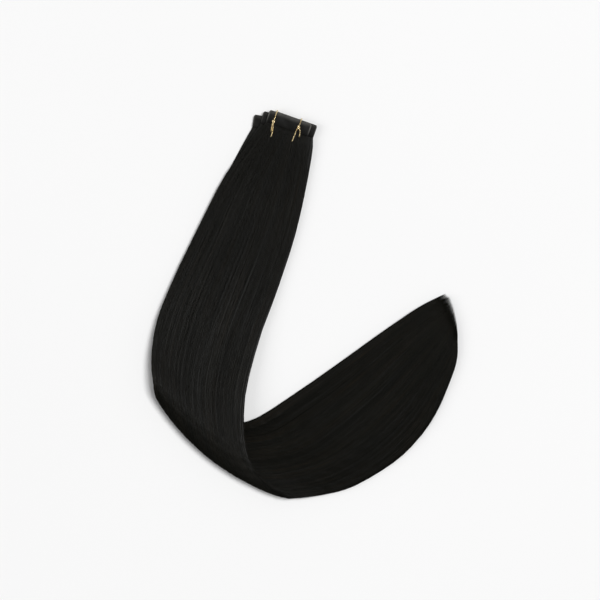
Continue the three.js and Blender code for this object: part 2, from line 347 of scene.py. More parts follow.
def add_piece(name, points, faces, material):
    """A smooth mesh object of the bundle, riding on its body."""
    mesh = bpy.data.meshes.new(name)
    mesh.from_pydata(points.reshape(-1, 3).tolist(), [], faces)
    mesh.shade_smooth()
    mesh.materials.append(material)
    piece = bpy.data.objects.new(name, mesh)
    bpy.context.scene.collection.objects.link(piece)
    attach(piece, BODY)
    return piece


def grid_faces(first, rows, columns, wrap):
    """Quads over a grid of points numbered row by row from first. With wrap, each row closes on itself."""
    row = np.arange(rows - 1)[:, None] * columns
    column = np.arange(columns if wrap else columns - 1)[None, :]
    after = (column + 1) % columns
    a, b = row + column, row + after
    return (first + np.stack([a, b, b + columns, a + columns], axis=-1)).reshape(-1, 4)


def border(rows, columns):
    """Numbers of the points round the edge of a grid, in order."""
    grid = np.arange(rows * columns).reshape(rows, columns)
    return np.concatenate([grid[0], grid[1:, -1], grid[-1, -2::-1], grid[-2:0:-1, 0]]).tolist()


def tube_faces(first, tubes, rows, columns):
    """Quads and end caps of closed tubes, whose points run tube by tube and ring by ring from first."""
    one = grid_faces(0, rows, columns, True)
    starts = first + np.arange(tubes) * rows * columns
    faces = (starts[:, None, None] + one).reshape(-1, 4).tolist()
    ring = np.arange(columns)
    faces += (starts[:, None] + ring[::-1]).tolist()
    faces += (starts[:, None] + (rows - 1) * columns + ring).tolist()
    return faces


def add_values(mesh, name, kind, values):
    """A value or a vector for each of a mesh's points, for its material to read."""
    layer = mesh.attributes.new(name, kind, "POINT")
    field = "vector" if kind == "FLOAT_VECTOR" else "value"
    layer.data.foreach_set(field, values.astype(np.float32).ravel())


# Materials

# Grains: how fine each is along the directions that it is laid out over, and how much detail it has
GRAINS = {
    "streaks": {"fineness": (2200.0, 40.0, 1.0), "detail": 3.0},
    "patches": {"fineness": (60.0, 9.0, 1.0), "detail": 2.0},
    "roots": {"fineness": (2600.0, 90.0, 0.0), "detail": 3.0},
    "cloud": {"fineness": (160.0, 160.0, 0.0), "detail": 4.0},
    "wraps": {"fineness": (3.0, 9000.0, 0.0), "detail": 2.0},
    # Stretches of painted shade and painted glints along the gold cord
    "painted_glints_and_shade": {"fineness": (0.6, 420.0, 0.0), "detail": 2.0},
    "floor": {"fineness": (3.0, 3.0, 3.0), "detail": 2.0},
}

# Darker kinds of the colours that are set: the film between the roots, painted shade on the gold cord and
# the floor
FILM_SHADOW = 0.55
CORD_PAINTED_SHADE = 0.16
CORD_PAINTED_SHADE_POWER = 2.4
FLOOR_SHADOW = 0.985


def opaque(colour):
    """A colour's three parts, with nothing showing through."""
    return (*colour, 1.0)


class Finish:
    """A material while its nodes are put together."""

    def __init__(self, name):
        self.material = bpy.data.materials.new(name)
        self.material.use_nodes = True
        self.nodes = self.material.node_tree.nodes
        self.links = self.material.node_tree.links
        self.shader = self.nodes["Principled BSDF"]

    def feed(self, socket, value):
        """Link a socket to another node's output, or give it a plain value."""
        if isinstance(value, bpy.types.NodeSocket):
            self.links.new(value, socket)
        else:
            socket.default_value = value

    def give(self, name, value):
        """Give the shader a value, plain or from another node."""
        self.feed(self.shader.inputs[name], value)

    def carried(self, name, output):
        """What a mesh carries under a name for each of its points."""
        node = self.nodes.new("ShaderNodeAttribute")
        node.attribute_name = name
        return node.outputs[output]

    def grain(self, name, places):
        """One of the grains, as a value at each place."""
        stretched = self.nodes.new("ShaderNodeVectorMath")
        stretched.operation = "MULTIPLY"
        stretched.inputs[1].default_value = GRAINS[name]["fineness"]
        self.links.new(places, stretched.inputs[0])
        noise = self.nodes.new("ShaderNodeTexNoise")
        noise.inputs["Scale"].default_value = 1.0
        noise.inputs["Detail"].default_value = GRAINS[name]["detail"]
        self.links.new(stretched.outputs["Vector"], noise.inputs["Vector"])
        return noise.outputs["Fac"]

    def ranged(self, value, limits, to=(0.0, 1.0)):
        """A value carried over from one range to another, and kept inside that."""
        mapped = self.nodes.new("ShaderNodeMapRange")
        for name, number in zip(("From Min", "From Max", "To Min", "To Max"), (*limits, *to)):
            mapped.inputs[name].default_value = number
        self.links.new(value, mapped.inputs["Value"])
        return mapped.outputs["Result"]

    def product(self, first, second):
        """Two values multiplied."""
        times = self.nodes.new("ShaderNodeMath")
        times.operation = "MULTIPLY"
        self.links.new(first, times.inputs[0])
        self.links.new(second, times.inputs[1])
        return times.outputs["Value"]

    def mixed(self, factor, first, second, clamp=True):
        """A mix of two colours, each plain or from another node."""
        mix = self.nodes.new("ShaderNodeMix")
        mix.data_type = "RGBA"
        mix.clamp_factor = clamp
        self.links.new(factor, mix.inputs["Factor"])
        self.feed(mix.inputs["A"], first)
        self.feed(mix.inputs["B"], second)
        return mix.outputs["Result"]

    def bump(self, height, strength, distance):
        """Raise the surface by a grain."""
        bump = self.nodes.new("ShaderNodeBump")
        bump.inputs["Strength"].default_value = strength
        bump.inputs["Distance"].default_value = distance
        self.links.new(height, bump.inputs["Height"])
        self.give("Normal", bump.outputs["Normal"])


def hair_material(settings):
    """Near-black hair: each strand its own shade, fine streaks along it and a soft sheen."""
    finish = Finish("hair strands")
    place = finish.carried("hairline", "Vector")
    streaks = finish.grain("streaks", place)
    patches = finish.grain("patches", place)
    streaked = finish.ranged(streaks, (0.3, 0.7), (0.35, 1.3))
    lightness = finish.product(finish.carried("shade", "Fac"), streaked)
    brown = finish.ranged(patches, (0.5, 0.72))
    lighter = finish.mixed(brown, opaque(settings.light), opaque(settings.warm))
    finish.give("Base Color", finish.mixed(lightness, opaque(settings.dark), lighter))
    roughness = (settings.roughness - 0.07, settings.roughness + 0.09)
    finish.give("Roughness", finish.ranged(patches, (0.3, 0.7), roughness))
    finish.give("Specular IOR Level", 0.11)
    finish.bump(streaks, strength=0.35, distance=0.0001)
    return finish.material


def film_material(settings):
    """Dark flexible film with the roots showing through as fine lines; its rim is clear film and painted
    highlight.
    """
    finish = Finish("tape film")
    place = finish.carried("film", "Vector")
    roots = finish.grain("roots", place)
    cloud = finish.grain("cloud", place)
    darker = opaque(FILM_SHADOW * part for part in settings.film)
    base = finish.mixed(finish.ranged(roots, (0.35, 0.65)), darker, opaque(settings.film))
    # The rim's paleness is clear film with no hair in it and partly a painted highlight, in patches
    rim_patches = finish.ranged(cloud, (0.35, 0.65), (0.65, 1.15))
    rim = finish.product(finish.carried("rim", "Fac"), rim_patches)
    finish.give("Base Color", finish.mixed(rim, base, opaque(settings.rim), clamp=False))
    finish.give("Roughness", finish.ranged(cloud, (0.3, 0.7), (0.30, 0.46)))
    finish.give("Specular IOR Level", 0.06)
    finish.bump(roots, strength=0.30, distance=0.0001)
    return finish.material


def gold_material(settings):
    """Gold metal thread with stretches of painted shade and painted glints, its wraps showing as fine lines
    across it.
    """
    finish = Finish("gold thread")
    place = finish.carried("thread", "Vector")
    wraps = finish.grain("wraps", place)
    # Stretches along the cord are painted shade or full gold, standing in for the cord's shade and glints
    bright = finish.ranged(finish.grain("painted_glints_and_shade", place), (0.36, 0.52))
    painted_shade = opaque(CORD_PAINTED_SHADE * part**CORD_PAINTED_SHADE_POWER for part in settings.gold)
    finish.give("Base Color", finish.mixed(bright, painted_shade, opaque(settings.gold)))
    finish.give("Metallic", 0.80)
    finish.give("Roughness", finish.ranged(wraps, (0.3, 0.7), (0.16, 0.34)))
    finish.bump(wraps, strength=0.45, distance=0.00008)
    return finish.material


def floor_material(settings):
    """Plain pale floor, with a trace of unevenness."""
    finish = Finish("pale floor")
    place = finish.nodes.new("ShaderNodeTexCoord").outputs["Object"]
    darker = opaque(FLOOR_SHADOW * part for part in settings.floor)
    finish.give("Base Color", finish.mixed(finish.grain("floor", place), darker, opaque(settings.floor)))
    finish.give("Roughness", 0.9)
    finish.give("Specular IOR Level", 0.05)
    return finish.material


# Hair

HAIR_SEED = 701

# The surface that a panel's hair is laid from: its lines from root to tip, the places along each, and how
# far the lines go on past both edges, as a share of the width
SURFACE_LINES = 61
SURFACE_PLACES = 361
SURFACE_MARGIN = 0.05

# How closely a hair's stations follow each other: least where it is straight, most near its two ends. The
# bend is smoothed over a window of places.
BEND_WINDOW = 15
LEAST_BEND = 1.5
END_BEND = 12.0
END_REACH = (0.03, 0.06)

# Thickness along a panel's edges, as a share of the full one, and the share of its half width that thins
EDGE_THICKNESS = 0.25
EDGE_REACH = 0.22

# Ends of the hair, in shares of its length: the fringe that the ends are spread over, how much deeper that
# is on the left and where it gets shallow, and how much shorter the corner on the left is, over which width
FRINGE = 0.011
LEFT_FRINGE = 0.009
FRINGE_FADE = (0.15, 0.60)
CORNER_CUT = 0.005
CORNER_WIDTH = 0.14

# Slow sideways waves: their numbers of turns, where along the hair they set in, and how much of what comes
# past an edge is turned back inside it
DRIFT_TURNS = (0.7, 1.6, 3.1)
DRIFT_START = (0.03, 0.35)
TURNED_IN = 0.6

# Locks. A pair of numbers is a range, from which each lock or hair takes a value of its own.
LOCK_STATIONS = 52
LOCK_SIDES = 8
LOCK_WIDTHS = (0.55, 1.45)
LOCK_SHADES = (0.2, 0.8)
LOCK_DEPTH = 0.05
LOCK_SHORTNESS = (0.7, 1.2)
LOCK_MARGIN = 0.004
LOCK_PINCH = 0.45
LOCK_PINCH_START = 0.955

# A lock's solid middle: its width and height as shares of the lock's, its shade as a share of the lock's,
# kept darker as painted shade deep in the lock where it shows between the strands, and the power that
# flattens its faces
CORE_WIDTH = 1.5
CORE_HEIGHT = 0.5
CORE_PAINTED_SHADE = 0.6
DOME_POWER = 0.4

# Strands round the locks: how many more of them lie on the face that shows, how far they spread over a
# lock, how many stray and how far the others wander, how they sink into the lock and come out again, and
# how they thin to their tips
STRAND_STATIONS = 40
STRAND_SIDES = 3
STRAND_FACING = 0.35
STRAND_SPREAD = 1.2
STRAND_HEIGHTS = (0.88, 1.05)
STRAND_WIDTHS = (0.65, 1.25)
STRAY_SHARE = 0.06
HELD_WANDER = 0.3
SINK_TURNS = (2.3, 4.1, 6.7)
SINK_MIDDLE = 0.9
SINK_REACH = 0.45
SINK_LIMITS = (0.8, 1.02)
TAPER = 0.8
TAPER_START = 0.96

# Fine hairs among the tips, with their lengths and where they start to lean as shares of the hair's length
TIP_STATIONS = 8
TIP_LENGTHS = (0.05, 0.09)
TIP_LEAN = 0.012
TIP_LEAN_START = 0.92
TIP_DEPTHS = (-0.9, 0.9)
TIP_WIDTH = 0.5
TIP_SHADES = (0.2, 0.9)

# Loose hairs: how far inside an edge they run and how far outside it they come, as shares of the width, and
# where along the hair they come out and over which length
LOOSE_SHORTNESS = (0.0, 0.05)
LOOSE_INSIDE = (0.01, 0.12)
LOOSE_OUTSIDE = (0.0, 0.008)
LOOSE_PLACES = (0.25, 0.95)
LOOSE_LENGTHS = (0.05, 0.14)
LOOSE_WANDER = 0.002
LOOSE_DEPTHS = (-0.6, 1.0)
LOOSE_WIDTH = 0.35
LOOSE_SHADES = (0.3, 1.0)

# Sizes that the grains of the hair are laid out over, and the step between those of two strands
GRAIN_WIDTH = 0.09
GRAIN_LENGTH = 0.59
GRAIN_STEP = 0.011


def section_rows(share):
    """Points of every section of the hair, at shares of its width."""
    rows = []
    for section in SECTIONS:
        lift = section.get("lift", (0.0, 0.0))
        left = np.array((*section["left"], FLAT_Z + lift[0]))
        right = np.array((*section["right"], FLAT_Z + lift[1]))
        across = right - left
        outward = np.array((across[1], -across[0], 0.0))
        outward /= np.linalg.norm(outward)
        bow = section.get("bow", 0.0) * 4 * share * (1 - share)
        rows.append(left + share[:, None] * across + bow[:, None] * outward)
    return rows


class PanelSurface:
    """The surface halfway through the bundle, where a panel spans it, as lines from root to tip."""

    def __init__(self, layer):
        share = np.linspace(-SURFACE_MARGIN, 1 + SURFACE_MARGIN, SURFACE_LINES)
        rows = []
        for root in ROOTS:
            along = root["inset"] + share * (TAPE_WIDTH - 2 * root["inset"])
            rows.append(in_tape(layer, along, TAPE_HEIGHT + root["below"], STACK_Z))
        low, high = layer["span"]
        rows += section_rows(low + (high - low) * share)
        self.points = spline_lines(np.stack(rows), SURFACE_PLACES)
        self.normals = unit(np.cross(np.gradient(self.points, axis=1), np.gradient(self.points, axis=0)))
        self.closeness = self.station_closeness()

    def station_closeness(self):
        """How closely stations follow each other along the lines: the closer, the tighter the bend."""
        along = np.diff(self.points, axis=1)
        turn = np.linalg.norm(np.diff(unit(along), axis=1), axis=-1)
        margin = BEND_WINDOW // 2 + 1
        bend = turn / np.linalg.norm(along[:, 1:], axis=-1)
        bend = np.pad(bend, ((0, 0), (margin, margin)), mode="edge")
        window = np.hanning(BEND_WINDOW)
        bend = np.stack([np.convolve(row, window / window.sum(), mode="valid") for row in bend])
        places = np.arange(SURFACE_PLACES)
        from_ends = np.minimum(places, places[::-1]) / SURFACE_PLACES
        return np.sqrt(bend + LEAST_BEND + END_BEND * (1.0 - smooth(from_ends, *END_REACH)))

    def line_number(self, share):
        """Which of the lines, counted from the left, runs at a share of the width."""
        return (share + SURFACE_MARGIN) / (1 + 2 * SURFACE_MARGIN) * (SURFACE_LINES - 1)

    def stations(self, count, share, end):
        """Places from root to end for hairs at shares of the width, closer together where they bend."""
        closeness = self.closeness[self.line_number(share).round().astype(int)]
        total = np.cumsum(closeness, axis=1) - closeness[:, :1]
        fine = np.linspace(0.0, 1.0, SURFACE_PLACES)
        steps = np.linspace(0.0, 1.0, count)
        return np.stack([np.interp(steps * row[-1], row, fine) for row in total]) * end[:, None]

    def at(self, share, place):
        """Points and normals at shares of the width and places along the length."""
        i = self.line_number(share)
        j = np.clip(place, 0.0, 1.0) * (SURFACE_PLACES - 1)
        i0 = np.clip(np.floor(i).astype(int), 0, SURFACE_LINES - 2)
        j0 = np.clip(np.floor(j).astype(int), 0, SURFACE_PLACES - 2)
        s = (i - i0)[..., None]
        t = (j - j0)[..., None]

        def blended(grid):
            near = grid[i0, j0] * (1 - s) + grid[i0 + 1, j0] * s
            far = grid[i0, j0 + 1] * (1 - s) + grid[i0 + 1, j0 + 1] * s
            return near * (1 - t) + far * t

        return blended(self.points), unit(blended(self.normals))


def waves(random, place, turns):
    """Random waves along hairs at their places, one for each number of turns, the quicker the smaller."""
    wave = np.zeros_like(place)
    for number in turns:
        phase = random.uniform(0.0, 2 * math.pi, (len(place), 1))
        size = random.normal(0.0, 1.0, (len(place), 1)) / (1.0 + number)
        wave += size * np.sin(2 * math.pi * number * place + phase)
    return wave


def drift(random, place, reach):
    """Slow sideways waves along the hair, none at the roots."""
    return reach * waves(random, place, DRIFT_TURNS) * smooth(place, *DRIFT_START)


def even_spots(random, count):
    """Random shares of the width, one in each of as many equal parts of it."""
    return (np.arange(count) + random.uniform(0.0, 1.0, count)) / max(count, 1)


def turned_in(share):
    """Shares of the width, with those past an edge turned back inside it."""
    share = np.where(share < 0.0, -TURNED_IN * share, share)
    return np.where(share > 1.0, 1.0 - TURNED_IN * (share - 1.0), share)


def thickness(share, place):
    """Half the thickness of a panel: full over the middle of its width, thin along both edges."""
    inward = np.clip(2 * np.minimum(share, 1 - share), 0.0, 1.0)
    across = EDGE_THICKNESS + (1.0 - EDGE_THICKNESS) * smooth(inward, 0.0, EDGE_REACH)
    return TAPE_THICKNESS / 2 * np.interp(place, FULLNESS_AT, FULLNESS) * across


def dome(around):
    """Height round a lock's section: broad and nearly flat above and below, round at the sides."""
    return np.sign(np.sin(around)) * np.abs(np.sin(around)) ** DOME_POWER


def hair_ends(share, shortness):
    """Places where hairs end at shares of the width, each short of the longest by some of the fringe."""
    longest = 1.0 - CORNER_CUT * (1.0 - smooth(share, 0.0, CORNER_WIDTH))
    fringe = FRINGE + LEFT_FRINGE * (1.0 - smooth(share, *FRINGE_FADE))
    return longest - fringe * shortness


def taper(place, end):
    """Strands are as narrow as the panel is at its roots, and end in fine tips."""
    return (1.0 - TAPER * smooth(place / end, TAPER_START, 1.0)) * np.interp(place, SPREAD_AT, SPREAD)


def lock_table(random, count):
    """Middles and half widths of the locks side by side over a panel's width."""
    width = random.uniform(*LOCK_WIDTHS, count)
    width /= width.sum()
    end = np.cumsum(width)
    return end - width / 2, width / 2


class PanelHair:
    """The hair of one panel: locks with a solid middle, strands round each of them and loose hairs."""

    def __init__(self, layer, index, settings):
        self.random = np.random.default_rng(HAIR_SEED + index)
        self.settings = settings
        self.face = layer["face"]
        self.surface = PanelSurface(layer)
        self.offset = layer_offset(index)
        self.points = []
        self.faces = []
        self.shades = []
        self.hairlines = []
        self.count = 0

    def add_tubes(self, points, shades, hairlines):
        """Closed tubes (tubes, rings, sides, 3) with a shade and a place in the hair for each point."""
        tubes, rows, columns = points.shape[:3]
        points[..., 2] = np.maximum(points[..., 2], 0.0)
        self.faces += tube_faces(self.count, tubes, rows, columns)
        self.points.append(points.reshape(-1, 3))
        self.shades.append(np.broadcast_to(shades, points.shape[:3]).ravel())
        self.hairlines.append(np.broadcast_to(hairlines, points.shape).reshape(-1, 3))
        self.count += tubes * rows * columns

    def add_strands(self, share, place, lift, radius, shade):
        """Thin tubes along hairs at shares of the width and places, lifted off the panel's middle."""
        middle, normal = self.surface.at(share, place)
        centre = middle + (self.offset + lift)[..., None] * normal
        centre[..., 2] = np.maximum(centre[..., 2], radius)
        along = unit(np.gradient(centre, axis=1))
        across = unit(np.cross(along, normal))
        upward = np.cross(across, along)
        around = np.linspace(0.0, 2 * math.pi, STRAND_SIDES, endpoint=False) + 0.5 * math.pi
        ring = np.cos(around)[:, None] * across[:, :, None] + np.sin(around)[:, None] * upward[:, :, None]
        points = centre[:, :, None] + radius[:, :, None, None] * ring
        number = np.arange(len(shade))[:, None]
        hairlines = np.broadcast_arrays(number * GRAIN_STEP, place * GRAIN_LENGTH, 0.0)
        self.add_tubes(points, shade[:, None, None], np.stack(hairlines, axis=-1)[:, :, None])

    def lay_locks(self):
        """The solid middles of the locks, side by side over the panel's width."""
        random, count = self.random, self.settings.locks
        self.middle, self.width = lock_table(random, count)
        self.lock_shade = random.uniform(*LOCK_SHADES, count)
        self.lock_depth = random.normal(0.0, LOCK_DEPTH, count)
        self.lock_end = hair_ends(self.middle, random.uniform(*LOCK_SHORTNESS, count))
        self.lock_phase = random.integers(0, 2**31, count)
        place = self.surface.stations(LOCK_STATIONS, self.middle, self.lock_end)
        path = self.lock_path(np.arange(count), place)
        around = np.linspace(0.0, 2 * math.pi, LOCK_SIDES, endpoint=False)
        pinch = 1.0 - LOCK_PINCH * smooth(place / self.lock_end[:, None], LOCK_PINCH_START, 1.0)
        share = path[..., None] + CORE_WIDTH * (self.width[:, None] * pinch)[..., None] * np.cos(around)
        share = np.clip(share, 0.0, 1.0)
        thick = thickness(path, place) * pinch
        lift = thick[..., None] * (CORE_HEIGHT * dome(around) + self.lock_depth[:, None, None])
        places = np.broadcast_to(place[..., None], share.shape)
        middle, normal = self.surface.at(share, places)
        points = middle + (self.offset + lift)[..., None] * normal
        hairlines = np.broadcast_arrays(share * GRAIN_WIDTH, places * GRAIN_LENGTH, np.sin(around))
        # The solid middle is painted darker than its strands, as shade deep inside the lock
        self.add_tubes(points, CORE_PAINTED_SHADE * self.lock_shade[:, None, None], np.stack(hairlines, axis=-1))

    def lock_path(self, locks, place):
        """Each lock's middle, as shares of the panel's width, at its places along the hair."""
        path = np.empty_like(place)
        for row, lock in enumerate(locks):
            random = np.random.default_rng(self.lock_phase[lock])
            path[row] = self.middle[lock] + drift(random, place[row : row + 1], self.settings.wander)[0]
        return np.clip(path, LOCK_MARGIN, 1.0 - LOCK_MARGIN)

    def lay_strands(self):
        """Strands over both faces of the locks, more of them on a face that shows."""
        random, settings = self.random, self.settings
        count = settings.locks * (settings.strands if self.face else settings.inner_strands)
        in_front = round(count * (0.5 + STRAND_FACING * self.face))
        spot = np.concatenate([even_spots(random, in_front), even_spots(random, count - in_front)])
        side = np.where(np.arange(count) < in_front, 1.0, -1.0)
        locks = np.searchsorted(self.middle + self.width, spot).clip(0, settings.locks - 1)
        around = side * np.arccos(np.clip((spot - self.middle[locks]) / self.width[locks], -1.0, 1.0))
        around = around[:, None]
        end = hair_ends(spot, random.uniform(0.0, 1.0, count))
        place = self.surface.stations(STRAND_STATIONS, spot, end)
        height = random.uniform(*STRAND_HEIGHTS, count)[:, None]
        path = self.lock_path(locks, place)
        strays = random.uniform(0.0, 1.0, count) < STRAY_SHARE
        wander = drift(random, place, settings.wander) * np.where(strays, 1.0, HELD_WANDER)[:, None]
        share = path + STRAND_SPREAD * self.width[locks][:, None] * np.cos(around) + wander
        share = turned_in(share)
        sink = SINK_MIDDLE + SINK_REACH * waves(random, place, SINK_TURNS)
        rise = np.clip(sink, *SINK_LIMITS) * height * dome(around)
        lift = thickness(path, place) * (rise + self.lock_depth[locks][:, None])
        shade = 0.5 * self.lock_shade[locks] + 0.5 * random.uniform(0.0, 1.0, count)
        radius = settings.strand_radius * random.uniform(*STRAND_WIDTHS, count)[:, None]
        self.add_strands(share, place, lift, radius * taper(place, end[:, None]), shade)

    def lay_tip_hairs(self):
        """Fine hairs among the last of the locks, of all lengths, so that the tips end softly."""
        random, count = self.random, self.settings.tip_hairs
        share = random.uniform(0.0, 1.0, count)
        end = hair_ends(share, random.uniform(0.0, 1.0, count))
        start = end - random.uniform(*TIP_LENGTHS, count)
        place = start[:, None] + np.linspace(0.0, 1.0, TIP_STATIONS) * (end - start)[:, None]
        lean = random.normal(0.0, TIP_LEAN, count)[:, None] * smooth(place, TIP_LEAN_START, 1.0)
        share = np.clip(share[:, None] + lean, 0.0, 1.0)
        lift = thickness(share, place) * random.uniform(*TIP_DEPTHS, count)[:, None]
        radius = TIP_WIDTH * self.settings.strand_radius * taper(place, end[:, None])
        self.add_strands(share, place, lift, radius, random.uniform(*TIP_SHADES, count))

    def lay_loose_hairs(self):
        """Single hairs that come out of an edge for a while."""
        random, count = self.random, self.settings.flyaways
        end = 1.0 - random.uniform(*LOOSE_SHORTNESS, count)
        edge = random.choice([0.0, 1.0], count)
        place = self.surface.stations(STRAND_STATIONS, edge, end)
        inside = random.uniform(*LOOSE_INSIDE, count)[:, None]
        outside = random.uniform(*LOOSE_OUTSIDE, count)[:, None]
        middle = random.uniform(*LOOSE_PLACES, count)[:, None]
        length = random.uniform(*LOOSE_LENGTHS, count)[:, None]
        bulge = np.exp(-(((place - middle) / length) ** 2))
        inward = inside - (inside + outside) * bulge + drift(random, place, LOOSE_WANDER)
        share = edge[:, None] + (1.0 - 2.0 * edge)[:, None] * inward
        depth = random.uniform(*LOOSE_DEPTHS, count)[:, None]
        lift = thickness(np.clip(share, 0.0, 1.0), place) * depth
        radius = LOOSE_WIDTH * self.settings.strand_radius * taper(place, end[:, None])
        self.add_strands(share, place, lift, radius, random.uniform(*LOOSE_SHADES, count))

    def piece(self, name, material):
        """The mesh object of all that was laid."""
        piece = add_piece(name, np.concatenate(self.points), self.faces, material)
        add_values(piece.data, "shade", "FLOAT", np.concatenate(self.shades))
        add_values(piece.data, "hairline", "FLOAT_VECTOR", np.concatenate(self.hairlines))
        return piece


class BUNDLE_OT_hair(Operator):
    """Make the four panels of hair, lock by lock and strand by strand"""

    bl_idname = "hair_bundle.hair"
    bl_label = "Make Hair"

    def execute(self, context):
        settings = context.scene.bundle_hair
        material = hair_material(settings)
        for index, layer in enumerate(LAYERS):
            hair = PanelHair(layer, index, settings)
            hair.lay_locks()
            hair.lay_strands()
            hair.lay_tip_hairs()
            hair.lay_loose_hairs()
            piece = hair.piece("locks_" + layer["name"], material)
            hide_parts("hair_" + layer["name"])
        return {"FINISHED"}


# Tapes

FILM_SEED = 301
LEAF_ROWS = 22
FOLD_STEPS = 12
FILM_COLUMNS = 72

# Ripples over the film: waves along the tape and down it, in radians for each metre, and their share of the
# size that is set. They fade out towards the fold.
RIPPLES = (
    {"along": 210.0, "below": 330.0, "share": 1.0},
    {"along": 560.0, "below": 480.0, "share": 0.5},
)
RIPPLE_FADE = (0.001, 0.004)

# Lower edges of the film, which bend in to the hair and thin out: how far, and over which height
LIP_BEND = 0.00016
LIP_HEIGHT = 0.0060
THINNING = 0.8
THIN_HEIGHT = 0.0025

# The paler rim, clear film with no hair in it and partly a painted highlight along the fold and at the
# ends:
# how far down from the fold it fades, how far in from the ends, and how strong it is there
RIM_BAND = (-0.0005, 0.0046)
RIM_ENDS = (0.0005, 0.0013)
RIM_END_SLOPE = 2.4
RIM_END_MOST = 2.0


def film_profile():
    """Points of the folded film's middle line, as (below the top edge, off the middle), and their outward
    directions, from the front leaf's lower edge over the fold to the back leaf's."""
    middle = TAPE_THICKNESS / 2 - FILM / 2
    fold = TAPE_THICKNESS / 2
    below = np.linspace(TAPE_HEIGHT - FILM / 2, fold, LEAF_ROWS)
    turn = np.linspace(0.0, math.pi, FOLD_STEPS + 1)[1:-1]
    front = np.stack([below, np.full_like(below, middle)], axis=-1)
    over = np.stack([fold - middle * np.sin(turn), middle * np.cos(turn)], axis=-1)
    behind = np.stack([below[::-1], np.full_like(below, -middle)], axis=-1)
    out_front = np.tile((0.0, 1.0), (len(below), 1))
    out_over = np.stack([-np.sin(turn), np.cos(turn)], axis=-1)
    return np.concatenate([front, over, behind]), np.concatenate([out_front, out_over, -out_front])


def rippled(random, along, below, size):
    """How far the film stands off flat."""
    starts = random.uniform(0.0, 2 * math.pi, (len(RIPPLES), 2))
    wave = np.zeros_like(along)
    for ripple, (start_along, start_below) in zip(RIPPLES, starts):
        over = np.sin(ripple["along"] * along + start_along)
        down = np.sin(ripple["below"] * below + start_below)
        wave += ripple["share"] * over * down
    return size * wave * smooth(below, *RIPPLE_FADE)


def film_grid(layer, index, ripple):
    """Outer and inner points of a tape over its profile and its width, the strength of the rim at each, and
    their distances along the tape and below its top edge."""
    line, outward = film_profile()
    from_edges = np.minimum(line[:, :1], TAPE_HEIGHT - line[:, :1])
    short = np.clip(TAPE_CORNER - from_edges, 0.0, TAPE_CORNER)
    inset = TAPE_CORNER - np.sqrt(TAPE_CORNER**2 - short**2)
    along = inset + np.linspace(0.0, 1.0, FILM_COLUMNS) * (TAPE_WIDTH - 2 * inset)
    below = np.broadcast_to(line[:, :1], along.shape)
    lip = -np.sign(line[:, 1:]) * LIP_BEND * smooth(below, TAPE_HEIGHT - LIP_HEIGHT, TAPE_HEIGHT)
    lift = rippled(np.random.default_rng(FILM_SEED + index), along, below, ripple) + lip
    thick = FILM * (1.0 - THINNING * smooth(line[:, :1], TAPE_HEIGHT - THIN_HEIGHT, TAPE_HEIGHT))
    height = STACK_Z + layer_offset(index) + line[:, 1:]
    sides = []
    for side in (0.5, -0.5):
        step = side * thick * outward
        sides.append(in_tape(layer, along, below + step[:, :1], height + step[:, 1:] + lift))
    # The rim is partly a painted highlight: a band along the fold and brighter strips at the ends
    band = 1.0 - smooth(below, *RIM_BAND)
    from_end = np.minimum(along - inset, TAPE_WIDTH - inset - along)
    strength = np.clip(RIM_END_SLOPE * (1.0 - below / TAPE_HEIGHT), 0.0, RIM_END_MOST)
    rim = layer["rim"] * np.maximum(band, (1.0 - smooth(from_end, *RIM_ENDS)) * strength)
    return sides, rim, np.stack(np.broadcast_arrays(along, below, 0.0), axis=-1)


class BUNDLE_OT_tapes(Operator):
    """Make the four folded strips of film tape"""

    bl_idname = "hair_bundle.tapes"
    bl_label = "Make Tapes"

    def execute(self, context):
        settings = context.scene.bundle_tapes
        material = film_material(settings)
        for index, layer in enumerate(LAYERS):
            sides, rim, places = film_grid(layer, index, settings.ripple)
            rows, columns = rim.shape
            faces = grid_faces(0, rows, columns, False)[:, ::-1].tolist()
            faces += grid_faces(rim.size, rows, columns, False).tolist()
            edge = border(rows, columns)
            for a, b in zip(edge, edge[1:] + edge[:1]):
                faces.append((a, b, b + rim.size, a + rim.size))
            piece = add_piece("film_" + layer["name"], np.stack(sides), faces, material)
            add_values(piece.data, "rim", "FLOAT", np.stack([rim, rim]))
            add_values(piece.data, "film", "FLOAT_VECTOR", np.stack([places, places]))
            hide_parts("tape_" + layer["name"])
        return {"FINISHED"}


# Ties

# Cords: the step between their rings, the fewest rings, the sides of a ply, how far from the middle the
# plies lie, as a share of where they would just touch, and a direction that no cord runs in
CORD_STEP = 0.00022
CORD_LEAST_RINGS = 24
PLY_SIDES = 7
PLY_SPREAD = 1.04
SIDEWAYS = (0.31, 0.87, 0.38)

# Frayed ends of the tails: how far the plies open out and how much they thin, each over its own length
FRAY_OPENING = 0.7
FRAY_LENGTH = 0.0022
FRAY_THINNING = 0.45
FRAY_TIP = 0.0015


